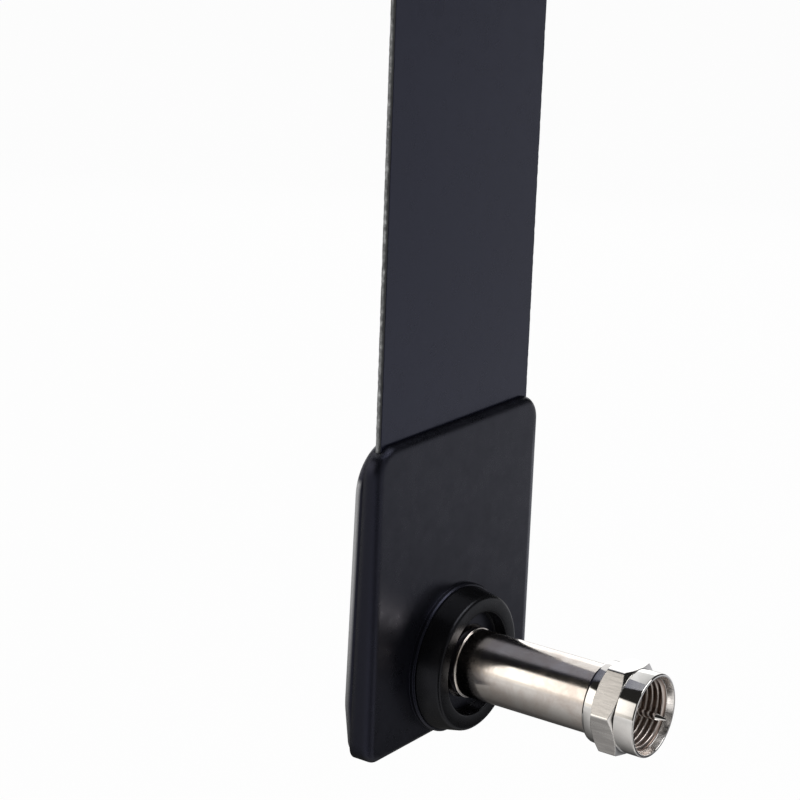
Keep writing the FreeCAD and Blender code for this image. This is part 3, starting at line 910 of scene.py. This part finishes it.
def thread_radius(along, angle):
    """Radius of the bore with a right-hand V thread that fades in at both ends."""
    phase = (along / THREAD_PITCH + angle / math.tau) % 1.0
    ridge = clamped(RIDGE_SLOPE * (1.0 - abs(2.0 * phase - 1.0)) - RIDGE_ROOT)
    fade_length = THREAD_FADE_TURNS * THREAD_PITCH
    fade_in = clamped((along - THREAD_START) / fade_length)
    fade_out = clamped((THREAD_END - along) / fade_length)
    return THREAD_BORE - (THREAD_BORE - THREAD_CREST) * ridge * fade_in * fade_out


def add_thread(bm, angles):
    """Bore surface whose rows follow the thread's helix from its start to its end."""
    turns = math.ceil((THREAD_END - THREAD_START) / THREAD_PITCH) + 2
    row_count = turns * THREAD_ROWS_A_TURN
    columns = []
    for step in range(len(angles) + 1):
        angle = angles[step % len(angles)]
        round_part = 1.0 if step == len(angles) else (angle - angles[0]) / math.tau
        column = []
        for row in range(row_count + 1):
            along = THREAD_START + THREAD_PITCH * (row / THREAD_ROWS_A_TURN - round_part)
            along = min(THREAD_END, max(THREAD_START, along))
            radius = thread_radius(along, angle - angles[0])
            column.append(bm.verts.new(ring_point(along, radius, angle)))
        columns.append(column)
    for left, right in zip(columns, columns[1:]):
        for row in range(row_count):
            quad = [left[row], left[row + 1], right[row + 1], right[row]]
            bm.faces.new(quad).material_index = CUT


def make_nut():
    """Coupling nut: polished collar, brushed hexagon with turned chamfers, thread and lip."""
    corner = hexagon_corner_angle()
    angles = nut_angles(corner)
    radii = [hexagon_radius(angle - corner) for angle in angles]
    bm = bmesh.new()
    rows = []
    for ring, slot in nut_rings(radii):
        row = [bm.verts.new(ring_point(*place, angle)) for place, angle in zip(ring, angles)]
        rows.append((row, slot))
    for (row, slot), (after, _) in zip(rows, rows[1:]):
        faces = join_rings(bm, row, after, slot)
        if row[0].co.y > COLLAR_LENGTH:
            polish_corners(faces, angles)
    add_thread(bm, angles)
    return object_from(bm, "coupling_nut_shell")


def make_sleeve():
    """Turned neck with a round bead at the hub and a flange inside it."""
    low, high = box_mm("connector_sleeve")
    bead_end = BEAD_FRONT + BEAD_LENGTH
    return lathe("connector_sleeve_turned", [
        (low.y, SLEEVE_BORE, 0.0),
        (low.y, SLEEVE_RADIUS, SLEEVE_END_EDGE),
        (BEAD_FRONT, SLEEVE_RADIUS, BEAD_FOOT),
        (BEAD_FRONT, BEAD_RADIUS, BEAD_EDGE),
        (bead_end, BEAD_RADIUS, BEAD_EDGE),
        (bead_end, SLEEVE_RADIUS, BEAD_FOOT),
        (FLANGE_FRONT, SLEEVE_RADIUS, 0.0),
        (FLANGE_FRONT, high.x, FLANGE_EDGE),
        (high.y, high.x, FLANGE_EDGE),
        (high.y, SLEEVE_BORE, 0.0),
    ])


def make_hub_ring():
    """Moulded ring with rounded edges round its flat face."""
    low, high = box_mm("hub_ring")
    return lathe("hub_ring_moulded", [
        (high.y, RING_SEAT_BORE, 0.0),
        (RING_STEP, RING_SEAT_BORE, 0.0),
        (RING_STEP, RING_BORE, RING_STEP_EDGE),
        (low.y, RING_BORE, RING_BORE_EDGE),
        (low.y, RING_FACE_RADIUS, RING_FACE_EDGE),
        (high.y, high.x, RING_FOOT_EDGE),
    ])


def make_pin():
    """Contact pin, ground to a long point."""
    low, high = box_mm("center_pin")
    return lathe("center_pin_turned", [
        (low.y, 0.0, 0.0),
        (low.y, PIN_POINT_RADIUS, PIN_TIP_EDGE),
        (low.y + PIN_POINT, PIN_RADIUS, PIN_POINT_EDGE),
        (INSULATOR_FRONT, PIN_RADIUS, 0.0),
        (INSULATOR_FRONT, PIN_SHANK_RADIUS, PIN_SHANK_EDGE),
        (high.y, PIN_SHANK_RADIUS, PIN_END_EDGE),
        (high.y, 0.0, 0.0),
    ])


def rear_outline(low, high, inset):
    """Outline of the rear cover in X and Z with a narrower foot, drawn in by an inset."""
    below = REAR_LOW_RADIUS - inset
    above = REAR_TOP_RADIUS - inset
    left = low.x + inset
    right = high.x - inset
    bend = low.z + FOOT_HEIGHT
    corners = [
        (left + FOOT_LEAN, low.z + inset, below),
        (right - FOOT_LEAN, low.z + inset, below),
        (right, bend, FOOT_BEND_RADIUS),
        (right, high.z - inset, above),
        (left, high.z - inset, above),
        (left, bend, FOOT_BEND_RADIUS),
    ]
    return rounded(corners, REAR_CORNER_STEPS)


def add_pegs(bm, front, back):
    """Two round pegs between two depths."""
    for side in (-1, 1):
        outline = circle(side * PEG_SPACING / 2, PEG_LEVEL, PEG_RADIUS)
        ends = []
        for along in (front, back):
            ends.append([bm.verts.new((across, along, level)) for across, level in outline])
        join_rings(bm, *ends)
        bm.faces.new(ends[0])
        bm.faces.new(ends[1])


def make_rear_cover():
    """Rear plate that leans with the taper, with a rounded edge and its two pegs."""
    low, high = box_mm("rear_cover")
    lean = HOUSING_TAPER / (high.z - low.z)
    seam = high.y - REAR_PLATE
    places = [(0.0, 0.0)]
    for step in range(REAR_EDGE_STEPS + 1):
        angle = math.pi / 2 * step / REAR_EDGE_STEPS
        depth = REAR_PLATE - REAR_EDGE + REAR_EDGE * math.sin(angle)
        places.append((depth, REAR_EDGE * (1 - math.cos(angle))))
    bm = bmesh.new()
    rows = []
    for depth, inset in places:
        rows.append([
            bm.verts.new((across, seam + depth - lean * (level - low.z), level))
            for across, level in rear_outline(low, high, inset)
        ])
    for first, second in zip(rows, rows[1:]):
        join_rings(bm, first, second)
    bm.faces.new(rows[0])
    bm.faces.new(rows[-1])
    add_pegs(bm, low.y, seam)
    return object_from(bm, "rear_cover_moulded")


def ragged_side(draw, low, high, across, tear, pitch):
    """Points up one side of the blade that wander inwards from a straight line."""
    points = []
    level = low
    while level < high:
        points.append((across - draw.random() ** 2 * tear, level))
        level += pitch * (SHORTEST_STEP + STEP_SPREAD * draw.random())
    points.append((across, high))
    return points


def blade_outline(draw, half, low, top, tear, pitch):
    """Closed outline of a blade layer: ragged sides and a smooth top with round corners."""
    shoulder = top - BLADE_CORNER
    right = ragged_side(draw, low, shoulder, half, tear, pitch)
    left = ragged_side(draw, low, shoulder, half, tear, pitch)
    arc = []
    for step in range(1, BLADE_ARC_STEPS + 1):
        angle = math.pi / 2 * step / BLADE_ARC_STEPS
        across = half - BLADE_CORNER + BLADE_CORNER * math.cos(angle)
        arc.append((across, shoulder + BLADE_CORNER * math.sin(angle)))
    upper = arc + [(-across, level) for across, level in reversed(arc)]
    return right + upper + [(-across, level) for across, level in reversed(left)]


def plate(name, outline, holes, front, back):
    """Flat plate from an outline in X and Z, with round holes, between two depths."""
    bm = bmesh.new()
    for loop in [outline] + [circle(*hole) for hole in holes]:
        verts = [bm.verts.new((across, front, level)) for across, level in loop]
        for index, vert in enumerate(verts):
            bm.edges.new((vert, verts[(index + 1) % len(verts)]))
    bmesh.ops.triangle_fill(bm, use_beauty=True, use_dissolve=False, edges=bm.edges[:])
    swept = bmesh.ops.extrude_face_region(bm, geom=bm.faces[:])
    moved = [item for item in swept["geom"] if isinstance(item, bmesh.types.BMVert)]
    bmesh.ops.translate(bm, vec=(0, back - front, 0), verts=moved)
    return object_from(bm, name, PLATE_SHARP_ANGLE)


def make_board(draw):
    """Core board of the blade, with a sawn edge and the holes for the pegs and the pin."""
    low, high = box_mm("blade_core")
    holes = [(side * PEG_SPACING / 2, PEG_LEVEL, PEG_HOLE_RADIUS) for side in (-1, 1)]
    holes.append((0.0, 0.0, PIN_HOLE_RADIUS))
    outline = blade_outline(draw, high.x, low.z, high.z, BOARD_TEAR, BOARD_PITCH)
    return plate("blade_core_sawn", outline, holes, low.y, high.y)


def make_film(draw, node):
    """Print film on one side of the board, a little narrower than its solid and slightly torn."""
    low, high = box_mm(node)
    outline = blade_outline(draw, high.x - FILM_INSET, low.z, high.z - FILM_INSET, FILM_TEAR, FILM_PITCH)
    return plate(node + "_cut", outline, [], low.y, high.y)


def use_second_slot_on_sides(obj):
    """Puts the narrow sides of a sheet in its second material slot."""
    for face in obj.data.polygons:
        face.material_index = 0 if abs(face.normal.y) > 0.5 else 1


def build_blade():
    """Board between its two films, of which the rear one shows its cut edge."""
    draw = random.Random(BLADE_SEED)
    board = make_board(draw)
    front_film = make_film(draw, "blade_front_film")
    rear_film = make_film(draw, "blade_rear_film")
    film = blade_film()
    give(board, cut_board())
    give(front_film, film)
    give(rear_film, film, torn_film())
    use_second_slot_on_sides(rear_film)
    finish_piece(board, "antenna", "blade_core")
    finish_piece(front_film, "antenna", "blade_front_film")
    finish_piece(rear_film, "antenna", "blade_rear_film")


def dress_solids(looks):
    """Gives each solid that stays its material and smooth shading."""
    for node, material in looks.items():
        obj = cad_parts[node]
        give(obj, material)
        set_smooth(obj, SOLID_SHARP_ANGLE)
        weigh_normals(obj)


def build_housing():
    """Front cover, rear cover and hub ring."""
    dress_solids({"front_cover": front_cover_plastic()})
    rear = make_rear_cover()
    give(rear, rear_cover_plastic())
    finish_piece(rear, "antenna", "rear_cover")
    ring = make_hub_ring()
    give(ring, hub_plastic())
    finish_piece(ring, "antenna", "hub_ring")


def build_plug():
    """Post, neck, pin and the nut that spins on them."""
    neck = neck_nickel()
    collar = collar_nickel()
    dress_solids({"connector_post": neck})
    sleeve = make_sleeve()
    give(sleeve, neck)
    finish_piece(sleeve, "antenna", "connector_sleeve")
    pin = make_pin()
    give(pin, collar)
    finish_piece(pin, "antenna", "center_pin")
    nut = make_nut()
    give(nut, collar, brushed_nickel(), thread_metal())
    finish_piece(nut, "nut", "coupling_nut")


def background(tree, strength, colour=WHITE):
    """Background of some strength and colour, each a value or a socket."""
    node = tree.nodes.new("ShaderNodeBackground")
    if isinstance(colour, tuple):
        node.inputs["Color"].default_value = (*colour, 1.0)
    else:
        tree.links.new(colour, node.inputs["Color"])
    if isinstance(strength, float):
        node.inputs["Strength"].default_value = strength
    else:
        tree.links.new(strength, node.inputs["Strength"])
    return node.outputs["Background"]


def choose(tree, factor, first, second):
    """Mixes two shaders by a factor."""
    node = tree.nodes.new("ShaderNodeMixShader")
    if isinstance(factor, float):
        node.inputs["Fac"].default_value = factor
    else:
        tree.links.new(factor, node.inputs["Fac"])
    tree.links.new(first, node.inputs[1])
    tree.links.new(second, node.inputs[2])
    return node.outputs["Shader"]


def reflected_sky(tree):
    """Strength and colour of the sky in reflections: white behind, dark above, a panel in front."""
    source = tree.nodes.new("ShaderNodeTexCoord")
    across, along, up = parts_of(tree, source.outputs["Generated"])
    ceiling = band(tree, across, CEILING_AT_LEFT, CEILING_AT_RIGHT, CEILING_BAND)
    above = combine(tree, "SUBTRACT", up, ceiling)
    below_ceiling = band(tree, above, 1.0, 0.0, (-CEILING_BLUR, CEILING_BLUR))
    behind = band(tree, along, 0.0, 1.0, BEHIND_BAND)
    to_left = band(tree, across, 1.0, 0.0, LEFT_BAND)
    higher = band(tree, up, 0.0, LEFT_GLOW, LEFT_RISE_BAND)
    glow = combine(tree, "ADD", product(tree, to_left, higher), 1.0)
    lit = product(tree, below_ceiling, behind, glow)
    ahead = band(tree, along, 1.0, 0.0, PANEL_AHEAD_BAND)
    beside = window(tree, across, *PANEL_ACROSS)
    raised = window(tree, up, *PANEL_UP)
    total = combine(tree, "ADD", lit, product(tree, ahead, beside, raised, PANEL_GLOW))
    return combine(tree, "ADD", total, SKY_LOW), blend(tree, to_left, WHITE, WARM_SKY)


def add_world():
    """Even fill light, with a white background to the camera and its own picture in reflections."""
    world = bpy.data.worlds.new("studio")
    bpy.context.scene.world = world
    world.use_nodes = True
    tree = world.node_tree
    tree.nodes.clear()
    out = tree.nodes.new("ShaderNodeOutputWorld")
    path = tree.nodes.new("ShaderNodeLightPath")
    fill = background(tree, FILL_STRENGTH)
    mirrored = background(tree, *reflected_sky(tree))
    white = background(tree, 1.0)
    glossy = choose(tree, path.outputs["Is Glossy Ray"], fill, mirrored)
    straight = combine(tree, "MAXIMUM", path.outputs["Is Camera Ray"], path.outputs["Is Transmission Ray"])
    tree.links.new(choose(tree, straight, glossy, white), out.inputs["Surface"])


def grey_ramp(tree, value, stops, tint):
    """Tinted grey as a chain of straight lines between (value, grey) pairs."""
    first = stops[0][0]
    last = stops[-1][0]
    node = tree.nodes.new("ShaderNodeValToRGB")
    elements = node.color_ramp.elements
    while len(elements) < len(stops):
        elements.new(0.5)
    for element, (place, grey) in zip(elements, stops):
        element.position = (place - first) / (last - first)
        element.color = (*(grey * part for part in tint), 1.0)
    tree.links.new(spread(tree, value, 0.0, 1.0, start=first, end=last), node.inputs["Fac"])
    return node.outputs["Color"]


def sector(tree, azimuth, bounds):
    """1 within a sector of directions, given in degrees."""
    return window(tree, azimuth, *(math.radians(degrees) for degrees in bounds))


def painted_floor_reflection(tree):
    """Glowing floor picture for reflections: a painted shadow past a slanting line, white far off, darker
    near to the right and towards the camera.
    """
    across, along, _ = parts_of(tree, surface(tree))
    reach = distance(tree, across, along)
    azimuth = combine(tree, "ARCTAN2", along, across)
    slant = math.radians(FLOOR_SLANT)
    to_side = combine(tree, "MULTIPLY", across, math.sin(slant))
    to_back = combine(tree, "MULTIPLY", along, -math.cos(slant))
    near = grey_ramp(tree, combine(tree, "ADD", to_side, to_back), FLOOR_GREYS, WARM)
    middle = blend(tree, band(tree, reach, 0.0, 1.0, FAR_BAND), near, FAR_GREY)
    whole = blend(tree, band(tree, reach, 0.0, 1.0, HORIZON_BAND), middle, HORIZON_GREY)
    right_side = grey_ramp(tree, reach, RIGHT_GREYS, COOL)
    with_right = blend(tree, sector(tree, azimuth, RIGHT_SECTOR), whole, right_side)
    return blend(tree, sector(tree, azimuth, CAMERA_SECTOR), with_right, CAMERA_SIDE_GREY)


def floor_paper():
    """Paper that is white to the camera apart from shadows, and in reflections glows with a painted picture
    of its own, painted shadow included.
    """
    material = bpy.data.materials.new("floor_look")
    material.use_nodes = True
    tree = material.node_tree
    tree.nodes.clear()
    out = tree.nodes.new("ShaderNodeOutputMaterial")
    path = tree.nodes.new("ShaderNodeLightPath")
    paper = tree.nodes.new("ShaderNodeBsdfDiffuse")
    paper.inputs["Color"].default_value = (FLOOR_PAPER, FLOOR_PAPER, FLOOR_PAPER, 1.0)
    white = tree.nodes.new("ShaderNodeEmission")
    grey = tree.nodes.new("ShaderNodeEmission")
    # Glossy rays see this glowing painted picture, painted shadow included, instead of the lit paper
    tree.links.new(painted_floor_reflection(tree), grey.inputs["Color"])
    to_camera = choose(tree, FLOOR_WHITE_SHARE, paper.outputs["BSDF"], white.outputs["Emission"])
    reflected = choose(tree, path.outputs["Is Glossy Ray"], paper.outputs["BSDF"], grey.outputs["Emission"])
    seen = choose(tree, path.outputs["Is Camera Ray"], reflected, to_camera)
    tree.links.new(seen, out.inputs["Surface"])
    return material


def add_floor():
    """Pale floor well below the antenna."""
    sides = ((-1, -1), (1, -1), (1, 1), (-1, 1))
    corners = [(x * FLOOR_HALF, y * FLOOR_HALF, FLOOR_LEVEL) for x, y in sides]
    mesh = bpy.data.meshes.new("floor")
    mesh.from_pydata(corners, [], [(0, 1, 2, 3)])
    mesh.materials.append(floor_paper())
    linked_object("floor", mesh)


def soft_box(name, place, width, height, radiance, colour, roll):
    """Area lamp of a given radiance, where 1 is white, aimed at the plug."""
    data = bpy.data.lights.new(name, "AREA")
    data.shape = "RECTANGLE"
    data.size = width
    data.size_y = height
    data.energy = radiance * math.pi * width * height
    data.color = colour
    lamp = linked_object(name, data)
    towards = (Vector(LAMP_TARGET) - Vector(place)).to_track_quat("-Z", "Y")
    rolled = towards @ Quaternion((0, 0, 1), math.radians(roll))
    lamp.location = place
    lamp.rotation_euler = rolled.to_euler()


def add_lamps():
    """Large soft boxes behind to both sides and a long one high up in front."""
    for lamp in LAMPS:
        soft_box(*lamp)


def add_camera():
    """Camera that stands where the photograph was taken from."""
    azimuth = math.radians(CAMERA_AZIMUTH)
    elevation = math.radians(CAMERA_ELEVATION)
    roll = math.radians(CAMERA_ROLL)
    level = Vector((math.cos(azimuth), math.sin(azimuth), 0))
    back = Vector((
        math.sin(azimuth) * math.cos(elevation),
        -math.cos(azimuth) * math.cos(elevation),
        math.sin(elevation),
    ))
    upright = back.cross(level)
    right = level * math.cos(roll) + upright * math.sin(roll)
    up = upright * math.cos(roll) - level * math.sin(roll)
    data = bpy.data.cameras.new("camera")
    data.lens = CAMERA_LENS
    data.sensor_width = CAMERA_SENSOR
    data.clip_start, data.clip_end = CAMERA_CLIP
    camera = linked_object("camera", data)
    turned = Matrix((right, up, back)).transposed().to_4x4()
    camera.matrix_world = Matrix.Translation(CAMERA_PLACE) @ turned
    bpy.context.scene.camera = camera


build_blade()
build_housing()
build_plug()
dress_solids(hidden_looks())
add_world()
add_floor()
add_lamps()
add_camera()
bpy.context.scene.view_settings.view_transform = "Standard"
